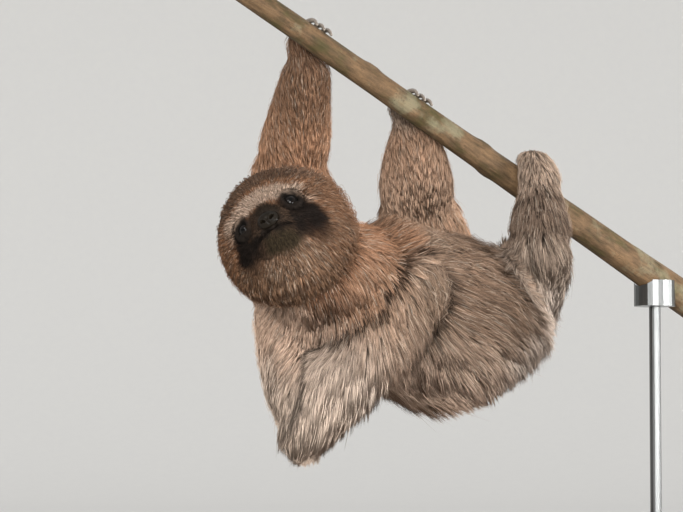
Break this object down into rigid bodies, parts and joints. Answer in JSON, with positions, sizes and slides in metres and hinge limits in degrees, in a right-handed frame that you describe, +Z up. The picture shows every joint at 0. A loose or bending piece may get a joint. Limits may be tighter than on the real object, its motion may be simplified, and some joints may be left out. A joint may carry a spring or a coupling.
{
  "type": "three-toed sloth display model",
  "caption": "Still, life-size model of a young three-toed sloth hanging belly up under a short sloping branch, held by a plain display stand.",
  "frame": {"origin": "centre of the stand base's underside, on the surface it stands on", "axes": "+Z up; +X along the branch towards its low end, so the head is at -X; +Y away from the animal's right side"},
  "size_m": [0.4275, 0.22, 0.3705],
  "materials": {
    "fur_brown": "coarse long fur, matte",
    "fur_pale": "coarse long fur, pale tips, matte",
    "fur_face": "short dense fur, matte",
    "eye": "wet gloss",
    "nose": "moist leathery skin",
    "claw": "satin horn",
    "bark": "dry thin bark",
    "base": "dark satin",
    "steel": "satin"
  },
  "bodies": {
    "root": {"eye_left": "eye", "eye_right": "eye", "head": "fur_face", "left_foot": "fur_brown", "left_foot_claw_1": "claw", "left_foot_claw_2": "claw", "left_foot_claw_3": "claw", "left_forearm": "fur_brown", "left_hand": "fur_brown", "left_hand_claw_1": "claw", "left_hand_claw_2": "claw", "left_hand_claw_3": "claw", "left_shank": "fur_brown", "left_thigh": "fur_brown", "left_upper_arm": "fur_brown", "neck": "fur_brown", "nose": "nose", "perch_branch": "bark", "right_foot": "fur_brown", "right_foot_claw_1": "claw", "right_foot_claw_2": "claw", "right_foot_claw_3": "claw", "right_forearm": "fur_pale", "right_hand": "fur_brown", "right_hand_claw_1": "claw", "right_hand_claw_2": "claw", "right_hand_claw_3": "claw", "right_shank": "fur_brown", "right_thigh": "fur_brown", "right_upper_arm": "fur_pale", "stand_base": "base", "stand_cradle": "steel", "stand_flange": "steel", "stand_rod": "steel", "tail": "fur_brown", "trunk": "fur_brown"}
  },
  "joints": []
}
